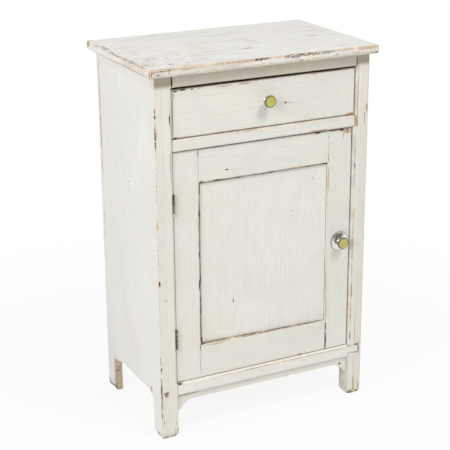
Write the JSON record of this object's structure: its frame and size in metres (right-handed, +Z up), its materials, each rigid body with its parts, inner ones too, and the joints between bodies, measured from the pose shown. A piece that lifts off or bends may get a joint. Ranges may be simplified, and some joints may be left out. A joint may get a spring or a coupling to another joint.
{
  "type": "bedside pot cupboard",
  "caption": "Painted wooden bedside cupboard with a sliding drawer over a hinged panelled door, an overhanging top and feet cut into its side boards.",
  "frame": {"origin": "on the floor, under the middle of the whole object's box", "axes": "+X to the door's knob side, +Y from the door to the back, +Z up"},
  "size_m": [0.508, 0.328, 0.78],
  "materials": {
    "painted_wood": "ivory paint on pine, rubbed through at the edges",
    "bare_wood": "old unpainted pine",
    "fittings": "dull dark steel",
    "knob_metal": "worn chrome plate",
    "knob_face": "glossy yellow-green face"
  },
  "bodies": {
    "carcass": {"top_board": "painted_wood", "side_left": "painted_wood", "side_right": "painted_wood", "post_left": "painted_wood", "post_right": "painted_wood", "top_rail": "painted_wood", "divider_rail": "painted_wood", "bottom_rail": "painted_wood", "apron": "painted_wood", "bottom_board": "bare_wood", "back_plank_left": "painted_wood", "back_plank_middle": "painted_wood", "back_plank_right": "painted_wood", "back_rail": "bare_wood", "runner_left": "bare_wood", "runner_right": "bare_wood", "guide_left": "bare_wood", "guide_right": "bare_wood", "kicker_left": "bare_wood", "kicker_right": "bare_wood", "drawer_stops": "bare_wood", "door_stop": "bare_wood", "top_screws": "fittings", "back_nails": "fittings", "hinge_upper_post_leaf": "fittings", "hinge_upper_pin": "fittings", "hinge_lower_post_leaf": "fittings", "hinge_lower_pin": "fittings", "hinge_screws_post": "fittings"},
    "drawer": {"drawer_front": "painted_wood", "drawer_side_left": "bare_wood", "drawer_side_right": "bare_wood", "drawer_back": "bare_wood", "drawer_bottom": "bare_wood", "drawer_nails": "fittings", "drawer_knob_body": "knob_metal", "drawer_knob_face": "knob_face", "drawer_knob_bolt": "fittings", "drawer_knob_nut": "fittings"},
    "door": {"door_hinge_stile": "painted_wood", "door_lock_stile": "painted_wood", "door_top_rail": "painted_wood", "door_bottom_rail": "painted_wood", "door_panel": "painted_wood", "hinge_upper_door_leaf": "fittings", "hinge_lower_door_leaf": "fittings", "hinge_screws_door": "fittings", "knob_rose": "knob_metal"},
    "door_knob": {"door_knob_body": "knob_metal", "door_knob_face": "knob_face", "knob_spindle": "fittings", "catch": "fittings", "catch_nut": "fittings"}
  },
  "joints": [
    {"name": "drawer_slide", "type": "slide", "parent": "carcass", "child": "drawer", "axis": [0, -1, 0], "range_m": [0, 0.22]},
    {"name": "door_hinge", "type": "hinge", "parent": "carcass", "child": "door", "pos_m": [-0.20075, -0.1455, 0.366], "axis": [0, 0, -1], "range_deg": [0, 160]},
    {"name": "knob_turn", "type": "hinge", "parent": "door", "child": "door_knob", "pos_m": [0.179, -0.143, 0.366], "axis": [0, -1, 0], "range_deg": [0, 90]}
  ]
}
